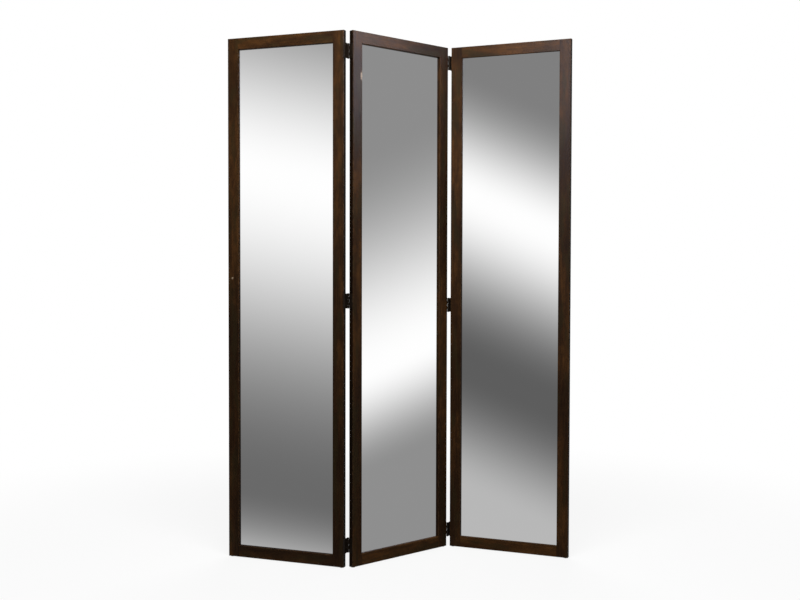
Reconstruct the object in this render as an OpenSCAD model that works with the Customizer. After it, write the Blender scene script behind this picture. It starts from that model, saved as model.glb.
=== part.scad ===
// Three panel floor mirror: a folding screen of three framed mirrors.
// Two-way hinges join the panels, so each outer panel folds to the front or to the back.
// Sizes are millimetres. +Z is up, the mirrors look towards -Y, and the floor is at z = 0.

/* [Screen] */
// Height from the floor to the top of the frames
screen_height = 1800; // [1300:10:2000]
// Width of one panel, across its frame
panel_width = 435; // [340:5:520]
// Turn of the middle panel away from facing straight ahead
middle_turn = 41; // [0:1:60]
// Fold between the left and the middle panel, back to back
left_fold = 61; // [0:1:120]
// Fold between the middle and the right panel, front to front
right_fold = 63; // [0:1:120]

/* [Frames] */
// Thickness of the frames, front to back
frame_thickness = 20; // [19:0.5:26]
// Width of the upright stiles
stile_width = 40; // [36:1:60]
// Height of the top rails
top_rail_height = 40; // [36:1:60]
// Height of the bottom rails
bottom_rail_height = 40; // [36:1:80]
// Radius of the eased outer edges
outer_round = 2; // [0.5:0.1:3]
// Bevel along the edge next to the mirror
sight_bevel = 1.5; // [0.5:0.1:3]

/* [Mirrors and backs] */
// Depth of the wood in front of the mirror
front_lip = 8; // [6:0.5:9]
// How far the rebate reaches behind the lip
rebate_width = 10; // [8:0.5:12]
// Thickness of the mirror glass
glass_thickness = 3; // [3:0.5:4]
// Chamfer along the edges of the glass
glass_arris = 0.4; // [0.2:0.1:0.8]
// Thickness of the backing board
board_thickness = 3; // [2:0.5:3.5]
// Gap round the glass and the board in the rebate
pane_gap = 1; // [0.5:0.1:2]
// Width of the mitred beads that hold the board
bead_width = 9; // [7:0.5:10]
// Bevel along the inner edge of the beads
bead_bevel = 1.5; // [0.5:0.1:3]

/* [Bead pins] */
// Diameter of the pins through the beads
bead_pin_diameter = 1.6; // [1:0.1:2]
// Diameter of the pins' heads
bead_pin_head = 2.6; // [2:0.1:4]
// Thickness of the pins' heads
bead_pin_head_height = 0.5; // [0.3:0.1:0.8]
// Length of the pins under the head
bead_pin_length = 19; // [15:0.5:22]
// Pins along each side bead
side_pin_count = 6; // [3:1:9]
// Pins along each end bead
end_pin_count = 2; // [1:1:4]

/* [Dowels] */
// Diameter of the dowels in the frame joints
dowel_diameter = 8; // [6:0.5:9]
// Length of the dowels
dowel_length = 46; // [36:1:48]
// Chamfer at the ends of the dowels
dowel_chamfer = 1; // [0.5:0.1:1.5]
// First dowel, from the outer edge of the rail
dowel_inset = 9; // [7:0.5:11]
// Distance between the two dowels of a joint
dowel_spacing = 14; // [10:0.5:14.5]

/* [Hinges] */
// Height of the hinges
hinge_height = 50; // [36:1:60]
// Middle of the left joint's bottom hinge above the bottom of the frame
left_bottom_inset = 73; // [60:1:120]
// Middle of the left joint's middle hinge above the middle of the frame
left_middle_rise = -1; // [-60:1:60]
// Middle of the left joint's top hinge below the top of the frame
left_top_inset = 67; // [54:1:120]
// Middle of the right joint's bottom hinge above the bottom of the frame
right_bottom_inset = 60; // [60:1:120]
// Middle of the right joint's middle hinge above the middle of the frame
right_middle_rise = -23; // [-60:1:60]
// Middle of the right joint's top hinge below the top of the frame
right_top_inset = 54; // [54:1:120]
// Outer diameter of the knuckles
knuckle_diameter = 6.2; // [5.8:0.1:7]
// Thickness of the leaves and the links
leaf_thickness = 1.5; // [1.4:0.1:1.8]
// Distance of the pins outside the front and the back of the frames
pin_offset = 1.5; // [1:0.1:2.5]
// Radius of the leaves' corners
leaf_corner = 2.5; // [0.5:0.1:4]
// Distance from a leaf's far edge to the face of the frame behind it
leaf_margin = 2.5; // [1:0.1:5]
// Gap between one knuckle and the next
knuckle_gap = 0.3; // [0.2:0.05:0.5]
// Gap between a leaf and the knuckle that turns in its notch
notch_gap = 0.5; // [0.3:0.1:1]
// Play all round a hinge pin in its knuckle
running_play = 0.05; // [0.02:0.01:0.1]
// Height of the riveted heads of the hinge pins
rivet_height = 0.8; // [0.4:0.1:1.2]
// How far the riveted heads reach past the pin
rivet_lip = 0.7; // [0.3:0.1:1]

/* [Hinge screws] */
// Diameter of the screws' shanks
screw_diameter = 3; // [2.5:0.1:3.5]
// Diameter of the countersunk heads
screw_head = 5.4; // [4.8:0.1:6]
// Length of the screws
screw_length = 16; // [12:0.5:18]
// Length of the screws' points
screw_point = 3; // [2:0.5:5]
// Distance from one screw of a leaf to the next
screw_spacing = 15; // [10:0.5:16]

/* [Floor glides] */
// Diameter of the glides
glide_diameter = 14; // [10:0.5:15]
// Height of the glides under the frame
glide_height = 2; // [1.5:0.1:4]
// Chamfer round the glides' feet
glide_chamfer = 0.5; // [0.2:0.1:1]
// Middle of a glide, from the outer edge of its stile
glide_inset = 10; // [8:0.5:11]
// Diameter of the glides' nails
glide_nail_diameter = 2.4; // [1.8:0.1:3]
// Length of the glides' nails
glide_nail_length = 14; // [10:0.5:20]

/* [Catch pin] */
// Diameter of the catch pin's head
catch_head = 7; // [5:0.1:9]
// How far the head stands out of the stile
catch_head_height = 1.2; // [0.8:0.1:1.4]
// Diameter of the catch pin's shank
catch_shank_diameter = 3; // [2:0.1:4]
// Length of the catch pin's shank
catch_shank_length = 12; // [8:0.5:16]
// Middle of the catch pin, from the outer edge of the stile
catch_inset = 16; // [10:0.5:24]
// Height of the catch pin above the floor
catch_height = 974; // [600:1:1100]

/* [Fit] */
// Play all round what is glued or driven into a hole
tight_play = 0.02; // [0.01:0.01:0.05]
// Space left at the end of a blind hole
hole_relief = 1; // [0.5:0.1:1.5]

/* [Hidden] */
$fn = 48;
overshoot = 1;  // how far a cut reaches past the surface that it opens

SIDES = ["left", "middle", "right"];
JOINTS = ["left", "right"];
LEVELS = ["bottom", "middle", "top"];
SCREW_ROWS = [-1, 0, 1];
PANEL_PARTS = ["left_stile", "right_stile", "top_rail", "bottom_rail", "mirror", "backing_board",
               "side_beads", "end_beads", "bead_pins", "dowels", "glides"];
LEVEL_PARTS = ["left_leaf", "link", "right_leaf"];
JOINT_PARTS = ["pins", "left_screws", "right_screws"];

// Heights and widths of the frame, its opening and its rebate
frame_bottom = glide_height;
frame_height = screen_height - frame_bottom;
opening_left = stile_width;
opening_right = panel_width - stile_width;
opening_bottom = frame_bottom + bottom_rail_height;
opening_top = screen_height - top_rail_height;
rebate_left = opening_left - rebate_width;
rebate_right = opening_right + rebate_width;
rebate_bottom = opening_bottom - rebate_width;
rebate_top = opening_top + rebate_width;

// The glass, the board and the beads fill the rebate from the lip to the back
board_y = front_lip + glass_thickness;
bead_y = board_y + board_thickness;
bead_depth = frame_thickness - bead_y;
bead_pin_y = bead_y + (bead_depth - bead_bevel) / 2;
centre_y = frame_thickness / 2;

// A hinge seen from above: the front pin, the back pin and the gap that they need
knuckle_radius = knuckle_diameter / 2;
hinge_pin_radius = knuckle_radius - leaf_thickness - running_play;
joint_gap = 4 * knuckle_radius - leaf_thickness;
front_pin = [knuckle_radius, -pin_offset];
back_pin = [joint_gap - knuckle_radius, frame_thickness + pin_offset];
link_x = 2 * knuckle_radius - leaf_thickness;
notch_reach = sqrt(pow(knuckle_radius, 2) - pow(knuckle_radius - leaf_thickness, 2)) + notch_gap;
leaf_reach = frame_thickness - leaf_margin + pin_offset;

// The knuckles of a pin from the bottom up: the link has the first, third and fifth
knuckle_count = 5;
knuckle_height = (hinge_height - (knuckle_count - 1) * knuckle_gap) / knuckle_count;
link_knuckles = [0, 2, 4];
leaf_knuckles = [1, 3];
function knuckle_z(i) = -hinge_height / 2 + i * (knuckle_height + knuckle_gap);

screw_head_height = (screw_head - screw_diameter) / 2;
function hinge_heights(joint) = joint == "left" ? [
    frame_bottom + left_bottom_inset,
    frame_bottom + frame_height / 2 + left_middle_rise,
    screen_height - left_top_inset
] : [
    frame_bottom + right_bottom_inset,
    frame_bottom + frame_height / 2 + right_middle_rise,
    screen_height - right_top_inset
];

// The screen is laid out flat, with the middle panel's front left edge at the origin.
// Each outer panel then turns about the pin that the middle panel's own leaf holds.
panel_pitch = panel_width + joint_gap;
left_pivot = back_pin - [joint_gap, 0];
right_pivot = front_pin + [panel_width, 0];
function panel_x(side) = side == "left" ? -panel_pitch : side == "right" ? panel_pitch : 0;
function joint_x(joint) = joint == "left" ? -joint_gap : panel_width;
function turned(p, angle) = [
    p[0] * cos(angle) - p[1] * sin(angle),
    p[0] * sin(angle) + p[1] * cos(angle)
];
function turned_about(p, pivot, angle) = pivot + turned(p - pivot, angle);
function folded(p, side) =
    side == "left" ? turned_about(p, left_pivot, -left_fold) :
    side == "right" ? turned_about(p, right_pivot, -right_fold) : p;

// The floor plan's rounded corners and knuckles, each as [centre, radius]
corner_x = [outer_round, panel_width - outer_round];
corner_y = [outer_round, frame_thickness - outer_round];
panel_corners = [
    for (side = SIDES, x = corner_x, y = corner_y)
        [turned(folded([panel_x(side) + x, y], side), middle_turn), outer_round]
];
knuckle_rounds = [
    for (joint = JOINTS, pin = [front_pin, back_pin])
        [turned(folded([joint_x(joint) + pin[0], pin[1]], joint), middle_turn), knuckle_radius]
];
plan_rounds = concat(panel_corners, knuckle_rounds);
plan_low = [for (axis = [0, 1]) min([for (item = plan_rounds) item[0][axis] - item[1]])];
plan_high = [for (axis = [0, 1]) max([for (item = plan_rounds) item[0][axis] + item[1]])];
plan_centre = (plan_low + plan_high) / 2;

// Evenly spaced places between two ends, with half a space at each end
function spread(low, high, count) = [for (i = [0 : count - 1]) low + (high - low) * (i + 0.5) / count];

// ---- Placing ----

module about(pivot, angle) {
    translate(pivot) rotate(angle) translate(-pivot) children();
}

// Moves what is drawn in the flat layout to where its body stands
module stand(side) {
    translate([-plan_centre[0], -plan_centre[1], 0]) rotate(middle_turn) {
        if (side == "left") about(left_pivot, -left_fold) children();
        if (side == "middle") children();
        if (side == "right") about(right_pivot, -right_fold) children();
    }
}

module on_panel(side) {
    stand(side) translate([panel_x(side), 0, 0]) children();
}

// The middle panel carries the leaf next to it; the rest of a hinge goes with the outer panel
module on_joint(joint, part) {
    own_leaf = joint == "left" ? "right" : "left";
    stand(part == own_leaf ? "middle" : joint) translate([joint_x(joint), 0, 0]) children();
}

module mirrored_to_right() {
    translate([panel_width, 0, 0]) mirror([1, 0, 0]) children();
}

// ---- Frame ----

module rounded_section(width, depth, radius) {
    difference() {
        square([width, depth]);
        for (right = [0, 1], back = [0, 1])
            translate([right * width, back * depth]) mirror([right, 0]) mirror([0, back]) difference() {
                translate([-overshoot, -overshoot]) square(radius + overshoot);
                translate([radius, radius]) circle(radius);
            }
    }
}

// A bar along X whose section, drawn as depth and height, stands upright
module bar_along_x(length) {
    rotate([90, 0, 90]) linear_extrude(length) children();
}

// The whole frame's outer form, with all its outer edges eased
module frame_blank() {
    intersection() {
        translate([0, 0, frame_bottom]) linear_extrude(frame_height)
            rounded_section(panel_width, frame_thickness, outer_round);
        translate([0, 0, frame_bottom]) bar_along_x(panel_width)
            rounded_section(frame_thickness, frame_height, outer_round);
    }
}

// A cut that leaves a bevel round an opening, at face_y and growing outwards (way -1 front, 1 back)
module bevel_cut(left, right, bottom, top, face_y, way, bevel) {
    spread_out = bevel + overshoot;
    inner_y = face_y - way * bevel;
    outer_y = face_y + way * overshoot;
    intersection() {
        translate([0, 0, bottom - spread_out]) linear_extrude(top - bottom + 2 * spread_out) polygon([
            [left, inner_y],
            [right, inner_y],
            [right + spread_out, outer_y],
            [left - spread_out, outer_y]
        ]);
        translate([left - spread_out, 0, 0]) bar_along_x(right - left + 2 * spread_out) polygon([
            [inner_y, bottom],
            [inner_y, top],
            [outer_y, top + spread_out],
            [outer_y, bottom - spread_out]
        ]);
    }
}

module sight_cut() {
    bevel_cut(opening_left, opening_right, opening_bottom, opening_top, 0, -1, sight_bevel);
}

// The space behind the lip, open at the back
module rebate() {
    translate([rebate_left, front_lip, rebate_bottom])
        cube([rebate_right - rebate_left, frame_thickness, rebate_top - rebate_bottom]);
}

// Heights of the dowels in one frame joint after the other
dowel_heights = [
    frame_bottom + dowel_inset,
    frame_bottom + dowel_inset + dowel_spacing,
    screen_height - dowel_inset - dowel_spacing,
    screen_height - dowel_inset
];

// Something lying across each frame joint, centred on the joint's line
module at_dowels() {
    for (x = [opening_left, opening_right], z = dowel_heights)
        translate([x, centre_y, z]) rotate([0, 90, 0]) children();
}

module dowel_holes() {
    at_dowels() cylinder(
        h = dowel_length + 2 * hole_relief,
        d = dowel_diameter + 2 * tight_play,
        center = true
    );
}

// A blind hole for what is driven in from z = 0
module blind_hole(diameter, length) {
    translate([0, 0, -overshoot])
        cylinder(h = overshoot + length + hole_relief, d = diameter + 2 * tight_play);
}

// Something driven outwards through the middle of the beads, from their inner faces
module at_side_pins() {
    for (z = spread(rebate_bottom, rebate_top, side_pin_count)) {
        translate([rebate_left + bead_width, bead_pin_y, z]) rotate([0, -90, 0]) children();
        translate([rebate_right - bead_width, bead_pin_y, z]) rotate([0, 90, 0]) children();
    }
}

module at_end_pins() {
    for (x = spread(rebate_left, rebate_right, end_pin_count)) {
        translate([x, bead_pin_y, rebate_bottom + bead_width]) rotate([180, 0, 0]) children();
        translate([x, bead_pin_y, rebate_top - bead_width]) children();
    }
}

module bead_pin_holes() {
    at_side_pins() blind_hole(bead_pin_diameter, bead_pin_length);
    at_end_pins() blind_hole(bead_pin_diameter, bead_pin_length);
}

module at_left_glide() {
    translate([glide_inset, centre_y, frame_bottom]) children();
}

// The holes for every hinge screw of a joint, from the edge at x = 0
module screw_holes(joint) {
    for (level = hinge_heights(joint), row = SCREW_ROWS)
        translate([0, centre_y, level + row * screw_spacing]) rotate([0, 90, 0])
            blind_hole(screw_diameter, screw_length - leaf_thickness);
}

module at_catch() {
    translate([catch_inset, 0, catch_height]) rotate([-90, 0, 0]) children();
}

module frame_cuts() {
    sight_cut();
    rebate();
    dowel_holes();
    bead_pin_holes();
    at_left_glide() blind_hole(glide_nail_diameter, glide_nail_length);
}

// A left-hand stile; joint names the joint whose hinges its outer edge carries, if any
module stile(joint = "", catch = false) {
    color([0.22, 0.14, 0.08]) difference() {
        intersection() {
            frame_blank();
            cube([stile_width, frame_thickness, screen_height]);
        }
        frame_cuts();
        if (joint != "") screw_holes(joint);
        if (catch) at_catch() blind_hole(catch_shank_diameter, catch_shank_length);
    }
}

module left_stile(side) {
    stile(joint = side == "middle" ? "left" : side == "right" ? "right" : "", catch = side == "left");
}

module right_stile(side) {
    mirrored_to_right() stile(joint = side == "left" ? "left" : side == "middle" ? "right" : "");
}

module rail(bottom, height) {
    color([0.27, 0.17, 0.09]) difference() {
        intersection() {
            frame_blank();
            translate([opening_left, 0, bottom])
                cube([opening_right - opening_left, frame_thickness, height]);
        }
        frame_cuts();
    }
}

module top_rail() {
    rail(opening_top, top_rail_height);
}

module bottom_rail() {
    rail(frame_bottom, bottom_rail_height);
}

module dowels() {
    color([0.80, 0.66, 0.45]) at_dowels() {
        cylinder(h = dowel_length - 2 * dowel_chamfer, d = dowel_diameter, center = true);
        for (end = [0, 1]) mirror([0, 0, end]) translate([0, 0, dowel_length / 2 - dowel_chamfer])
            cylinder(h = dowel_chamfer, d1 = dowel_diameter, d2 = dowel_diameter - 2 * dowel_chamfer);
    }
}

// ---- Mirror and back ----

pane_width = rebate_right - rebate_left - 2 * pane_gap;
pane_height = rebate_top - rebate_bottom - 2 * pane_gap;

module chamfered_section(width, depth, chamfer) {
    polygon([
        [chamfer, 0],
        [width - chamfer, 0],
        [width, chamfer],
        [width, depth - chamfer],
        [width - chamfer, depth],
        [chamfer, depth],
        [0, depth - chamfer],
        [0, chamfer]
    ]);
}

module in_rebate(front_y) {
    translate([rebate_left + pane_gap, front_y, rebate_bottom + pane_gap]) children();
}

module mirror_glass() {
    color([0.78, 0.81, 0.83]) in_rebate(front_lip) intersection() {
        linear_extrude(pane_height) chamfered_section(pane_width, glass_thickness, glass_arris);
        bar_along_x(pane_width) chamfered_section(glass_thickness, pane_height, glass_arris);
    }
}

module backing_board() {
    color([0.36, 0.27, 0.19]) in_rebate(board_y) cube([pane_width, board_thickness, pane_height]);
}

// A bead whose outline is drawn as seen from the front, with the bevel and pin holes of its frame
module bead(outline) {
    difference() {
        translate([0, frame_thickness, 0]) rotate([90, 0, 0]) linear_extrude(bead_depth) polygon(outline);
        bevel_cut(rebate_left + bead_width, rebate_right - bead_width, rebate_bottom + bead_width,
                  rebate_top - bead_width, frame_thickness, 1, bead_bevel);
        bead_pin_holes();
    }
}

module left_bead() {
    bead([
        [rebate_left, rebate_bottom],
        [rebate_left + bead_width, rebate_bottom + bead_width],
        [rebate_left + bead_width, rebate_top - bead_width],
        [rebate_left, rebate_top]
    ]);
}

module side_beads() {
    color([0.25, 0.16, 0.09]) {
        left_bead();
        mirrored_to_right() left_bead();
    }
}

// A bead across the rebate; way is 1 for the bottom one and -1 for the top one
module end_bead(outer_z, way) {
    inner_z = outer_z + way * bead_width;
    bead([
        [rebate_left, outer_z],
        [rebate_right, outer_z],
        [rebate_right - bead_width, inner_z],
        [rebate_left + bead_width, inner_z]
    ]);
}

module end_beads() {
    color([0.25, 0.16, 0.09]) {
        end_bead(rebate_bottom, 1);
        end_bead(rebate_top, -1);
    }
}

module bead_pin() {
    cylinder(h = bead_pin_length, d = bead_pin_diameter);
    translate([0, 0, -bead_pin_head_height]) cylinder(h = bead_pin_head_height, d = bead_pin_head);
}

module bead_pins() {
    color([0.55, 0.53, 0.50]) {
        at_side_pins() bead_pin();
        at_end_pins() bead_pin();
    }
}

// ---- Floor glides and catch ----

module glide() {
    foot = glide_diameter - 2 * glide_chamfer;
    translate([0, 0, -glide_height]) cylinder(h = glide_chamfer, d1 = foot, d2 = glide_diameter);
    translate([0, 0, glide_chamfer - glide_height])
        cylinder(h = glide_height - glide_chamfer, d = glide_diameter);
    cylinder(h = glide_nail_length, d = glide_nail_diameter);
}

module glides() {
    color([0.15, 0.13, 0.12]) {
        at_left_glide() glide();
        mirrored_to_right() at_left_glide() glide();
    }
}

// A low domed head on a plain shank
module catch_pin() {
    dome_radius = (pow(catch_head / 2, 2) + pow(catch_head_height, 2)) / (2 * catch_head_height);
    color([0.52, 0.45, 0.36]) at_catch() {
        intersection() {
            translate([0, 0, dome_radius - catch_head_height]) sphere(dome_radius);
            translate([0, 0, -catch_head_height]) cylinder(h = catch_head_height, d = catch_head);
        }
        cylinder(h = catch_shank_length, d = catch_shank_diameter);
    }
}

// ---- Two-way hinges ----
// A joint is drawn with its left panel's edge at x = 0, its right panel's at joint_gap,
// and a hinge with its middle at z = 0. The left leaf turns on the front pin and the
// right leaf, the same piece turned round, on the back pin. The link joins both pins.

module at_level(joint, i) {
    translate([0, 0, hinge_heights(joint)[i]]) children();
}

module turned_round() {
    translate([joint_gap, frame_thickness, 0]) rotate(180) children();
}

module knuckles(pin, places) {
    for (i = places)
        translate([pin[0], pin[1], knuckle_z(i)]) cylinder(h = knuckle_height, r = knuckle_radius);
}

module pin_bore(pin) {
    translate([pin[0], pin[1], 0])
        cylinder(h = hinge_height + 2 * overshoot, r = hinge_pin_radius + running_play, center = true);
}

// Cuts a plate back in front, where the other piece's knuckles turn at these places
module notches(places) {
    for (i = places)
        translate([-overshoot, -pin_offset - overshoot, knuckle_z(i) - knuckle_gap])
            cube([joint_gap + 2 * overshoot, overshoot + notch_reach, knuckle_height + 2 * knuckle_gap]);
}

module at_leaf_screws() {
    for (row = SCREW_ROWS)
        translate([leaf_thickness, centre_y, row * screw_spacing]) rotate([0, 90, 0]) children();
}

module screw_seat() {
    shank = screw_diameter + 2 * tight_play;
    head = screw_head + 2 * tight_play;
    translate([0, 0, -leaf_thickness - overshoot]) cylinder(h = leaf_thickness + overshoot, d = shank);
    translate([0, 0, -screw_head_height]) cylinder(h = screw_head_height, d1 = shank, d2 = head);
    cylinder(h = overshoot, d = head);
}

module leaf() {
    color([0.10, 0.09, 0.085]) difference() {
        union() {
            difference() {
                translate([0, -pin_offset, -hinge_height / 2]) bar_along_x(leaf_thickness)
                    rounded_section(leaf_reach, hinge_height, leaf_corner);
                notches(link_knuckles);
            }
            knuckles(front_pin, leaf_knuckles);
        }
        pin_bore(front_pin);
        at_leaf_screws() screw_seat();
    }
}

module link() {
    color([0.10, 0.09, 0.085]) difference() {
        union() {
            difference() {
                translate([link_x, -pin_offset, -hinge_height / 2])
                    cube([leaf_thickness, frame_thickness + 2 * pin_offset, hinge_height]);
                notches(leaf_knuckles);
                turned_round() notches(leaf_knuckles);
            }
            knuckles(front_pin, link_knuckles);
            knuckles(back_pin, link_knuckles);
        }
        pin_bore(front_pin);
        pin_bore(back_pin);
    }
}

module hinge_pin() {
    cylinder(h = hinge_height, r = hinge_pin_radius, center = true);
    for (end = [0, 1])
        mirror([0, 0, end]) translate([0, 0, hinge_height / 2])
            cylinder(h = rivet_height, r1 = hinge_pin_radius + rivet_lip, r2 = hinge_pin_radius);
}

module hinge_pins(joint) {
    color([0.20, 0.19, 0.18])
        for (i = [0 : len(LEVELS) - 1], pin = [front_pin, back_pin])
            at_level(joint, i) translate(pin) hinge_pin();
}

module hinge_screw() {
    rotate_extrude() polygon([
        [0, 0],
        [screw_head / 2, 0],
        [screw_diameter / 2, -screw_head_height],
        [screw_diameter / 2, screw_point - screw_length],
        [0, -screw_length]
    ]);
}

module hinge_screws(joint) {
    color([0.13, 0.12, 0.11])
        for (i = [0 : len(LEVELS) - 1])
            at_level(joint, i) at_leaf_screws() hinge_screw();
}

// ---- The screen ----

for (side = SIDES) {
    on_panel(side) left_stile(side);
    on_panel(side) right_stile(side);
    on_panel(side) top_rail();
    on_panel(side) bottom_rail();
    on_panel(side) mirror_glass();
    on_panel(side) backing_board();
    on_panel(side) side_beads();
    on_panel(side) end_beads();
    on_panel(side) bead_pins();
    on_panel(side) dowels();
    on_panel(side) glides();
}

for (joint = JOINTS) {
    for (i = [0 : len(LEVELS) - 1]) {
        hinge = str(joint, "_hinge_", LEVELS[i]);
        on_joint(joint, "left") at_level(joint, i) leaf();
        on_joint(joint, "link") at_level(joint, i) link();
        on_joint(joint, "right") at_level(joint, i) turned_round() leaf();
    }
    on_joint(joint, "link") hinge_pins(joint);
    on_joint(joint, "left") hinge_screws(joint);
    on_joint(joint, "right") turned_round() hinge_screws(joint);
}

on_panel("left") catch_pin();
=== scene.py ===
"""Dresses the three panel floor mirror: its wood, glass, metal and small hardware, and the
studio that it stands in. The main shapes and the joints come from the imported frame."""
import math

import bpy
import numpy as np
from mathutils import Matrix, Vector


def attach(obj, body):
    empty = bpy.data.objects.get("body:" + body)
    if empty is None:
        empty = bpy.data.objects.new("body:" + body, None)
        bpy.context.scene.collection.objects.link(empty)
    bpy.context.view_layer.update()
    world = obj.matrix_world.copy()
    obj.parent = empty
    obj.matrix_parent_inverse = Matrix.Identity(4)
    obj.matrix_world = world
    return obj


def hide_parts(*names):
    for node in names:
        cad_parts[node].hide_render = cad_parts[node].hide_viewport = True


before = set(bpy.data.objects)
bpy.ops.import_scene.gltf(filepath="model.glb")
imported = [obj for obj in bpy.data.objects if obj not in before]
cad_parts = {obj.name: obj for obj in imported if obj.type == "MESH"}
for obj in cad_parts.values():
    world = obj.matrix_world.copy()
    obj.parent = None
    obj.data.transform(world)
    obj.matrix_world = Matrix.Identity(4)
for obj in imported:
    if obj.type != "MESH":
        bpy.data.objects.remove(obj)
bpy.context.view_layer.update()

bl_info = {
    "name": "Three panel floor mirror",
    "version": (1, 0, 0),
    "blender": (4, 5, 0),
    "location": "3D View > Sidebar > Mirror",
    "description": "Finishes for a folding floor mirror, and the studio that it stands in",
    "category": "Object",
}

MM = 0.001
SIDES = ("left", "middle", "right")
FRAME_PARTS = ("left_stile", "right_stile", "top_rail", "bottom_rail")
HINGE_LEVELS = ("bottom", "middle", "top")
# Each row of hinges, with the panel on its left and the panel on its right
HINGE_ROWS = {"left": ("left", "middle"), "right": ("middle", "right")}


# --- Where the panels stand ------------------------------------------------------------------

def corners_of(node):
    """The corner points of a CAD node's mesh, one row each."""
    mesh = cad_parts[node].data
    points = np.empty(len(mesh.vertices) * 3)
    mesh.vertices.foreach_get("co", points)
    return points.reshape(-1, 3)


# Where on the sheet and the plank each panel's pieces are cut from, in metres
OFFCUTS = {"left": 3.7, "middle": 1.3, "right": 0.7}


class Panel:
    """One framed mirror. Its own axes are x along its width, y from its front to its back and
    z upwards, and they start at the front, left, bottom corner of its frame."""

    def __init__(self, side):
        self.side = side
        flat = corners_of(self.node("mirror"))[:, :2]
        spread = np.linalg.svd(flat - flat.mean(axis=0), full_matrices=False)[2][0]
        self.along = spread if spread[0] > 0 else -spread
        self.back = np.array([-self.along[1], self.along[0]])
        stiles = np.vstack(
            [corners_of(self.node("left_stile")), corners_of(self.node("right_stile"))])
        x = stiles[:, :2] @ self.along
        y = stiles[:, :2] @ self.back
        self.width = x.max() - x.min()
        self.thickness = y.max() - y.min()
        self.corner = self.along * x.min() + self.back * y.min()
        self.bottom = stiles[:, 2].min()
        self.top = stiles[:, 2].max()
        self.glass_margin = (flat @ self.along).min() - x.min()
        rail = corners_of(self.node("top_rail"))
        self.stile_width = (rail[:, :2] @ self.along).min() - x.min()
        self.rail_height = self.top - rail[:, 2].min()
        self.turn = math.atan2(self.along[1], self.along[0])
        self.offcut = OFFCUTS[side]

    def node(self, part):
        return f"{self.side}_panel_{part}"

    @property
    def origin(self):
        return (self.corner[0], self.corner[1], 0.0)


PANELS = {side: Panel(side) for side in SIDES}


# --- Sizes and colours that a user would change -----------------------------------------------

def colour_property(name, description, default):
    return bpy.props.FloatVectorProperty(
        name=name, description=description, subtype="COLOR", size=3, min=0.0, max=1.0,
        default=default)


def share_property(name, description, default, highest=1.0):
    return bpy.props.FloatProperty(
        name=name, description=description, subtype="FACTOR", min=0.0, max=highest,
        default=default)


def power_property(name, description, default):
    return bpy.props.FloatProperty(
        name=name, description=description, unit="POWER", min=0.0, max=1000.0, default=default)


class WoodFinish(bpy.types.PropertyGroup):
    """The dark stain and satin lacquer of the frames."""
    dark: colour_property(
        "Dark stain", "Stain where the wood took up most", (0.0064, 0.0027, 0.0010))
    middle: colour_property(
        "Middle stain", "Stain over most of the wood", (0.0168, 0.0070, 0.0021))
    warm: colour_property(
        "Warm stain", "Stain where the wood shows through", (0.0530, 0.0215, 0.0052))
    green: colour_property(
        "Greenish stain", "Stain over the wood's cooler streaks", (0.0155, 0.0105, 0.0034))
    # The rubbed wood colour and the wear width also paint a highlight along the frames' edges
    wear_and_highlight: colour_property(
        "Rubbed wood", "Wood that shows on rubbed edges", (0.1050, 0.0580, 0.0290))
    # This colour is used for a pale spot at one stile's inner edge
    pale_spot_tone: colour_property(
        "Bare wood", "Wood where the edge is chipped", (0.3400, 0.2600, 0.1950))
    lacquer: share_property("Lacquer", "Weight of the lacquer coat", 0.05)
    lacquer_haze: share_property("Lacquer haze", "Roughness of the lacquer", 0.24)
    wear_and_highlight_width: bpy.props.FloatProperty(
        name="Wear width", description="Width of the rubbed line along an edge", unit="LENGTH",
        min=0.0, max=0.01, default=1.6 * MM)


class GlassFinish(bpy.types.PropertyGroup):
    """The silvered glass and the hardboard behind it."""
    silver: colour_property("Silver", "What the silvering gives back", (0.905, 0.905, 0.905))
    cut_edge: colour_property("Cut edge", "Ground edge of the glass", (0.100, 0.200, 0.160))
    board: colour_property(
        "Hardboard", "Smooth side of the backing board", (0.0740, 0.0370, 0.0178))
    haze: share_property("Haze", "Roughness of clean glass", 0.010, highest=0.2)


class MetalFinish(bpy.types.PropertyGroup):
    """The hinges, screws, pins, glides and the catch."""
    bronze: colour_property(
        "Hinge bronze", "Oil-rubbed bronze of the hinges", (0.0066, 0.0044, 0.0029))
    rubbed: colour_property("Rubbed bronze", "Where the bronze is worn", (0.0330, 0.0225, 0.0155))
    steel: colour_property(
        "Wire steel", "Bright drawn wire of the bead pins", (0.480, 0.460, 0.430))
    brass: colour_property("Catch brass", "Dull aged brass of the catch", (0.300, 0.225, 0.155))
    nylon: colour_property(
        "Glide nylon", "Dark nylon of the floor glides", (0.0090, 0.0080, 0.0072))


class StudioSettings(bpy.types.PropertyGroup):
    """The floor, lamps and camera."""
    lens: bpy.props.FloatProperty(
        name="Lens", description="Focal length on a 36 mm frame",
        min=20.0, max=200.0, default=47.86)
    camera_place: bpy.props.FloatVectorProperty(
        name="Camera place", description="Where the camera stands", subtype="XYZ",
        unit="LENGTH", size=3, default=(0.0022, -3.7026, 1.0099))
    camera_dip: bpy.props.FloatProperty(
        name="Camera dip", description="How far the camera looks down", unit="ROTATION",
        default=math.radians(1.711))
    camera_roll: bpy.props.FloatProperty(
        name="Camera roll", description="How far the camera leans over", unit="ROTATION",
        default=math.radians(0.131))
    key_power: power_property("Main lamp", "Power of the soft lamp above the front", 104.0)
    sheen_power: power_property(
        "Sheen lamps", "Power of the lamps that only the lacquer shows", 145.0)
    dome: bpy.props.FloatProperty(
        name="Room light", description="Strength of the light from all round",
        min=0.0, max=2.0, default=0.15)
    floor_tone: colour_property("Floor", "Pale floor", (0.62, 0.62, 0.62))
    floor_size: bpy.props.FloatProperty(
        name="Floor size", description="Radius of the floor", unit="LENGTH",
        min=1.0, max=100.0, default=24.0)


# --- Shader maths ----------------------------------------------------------------------------

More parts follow.
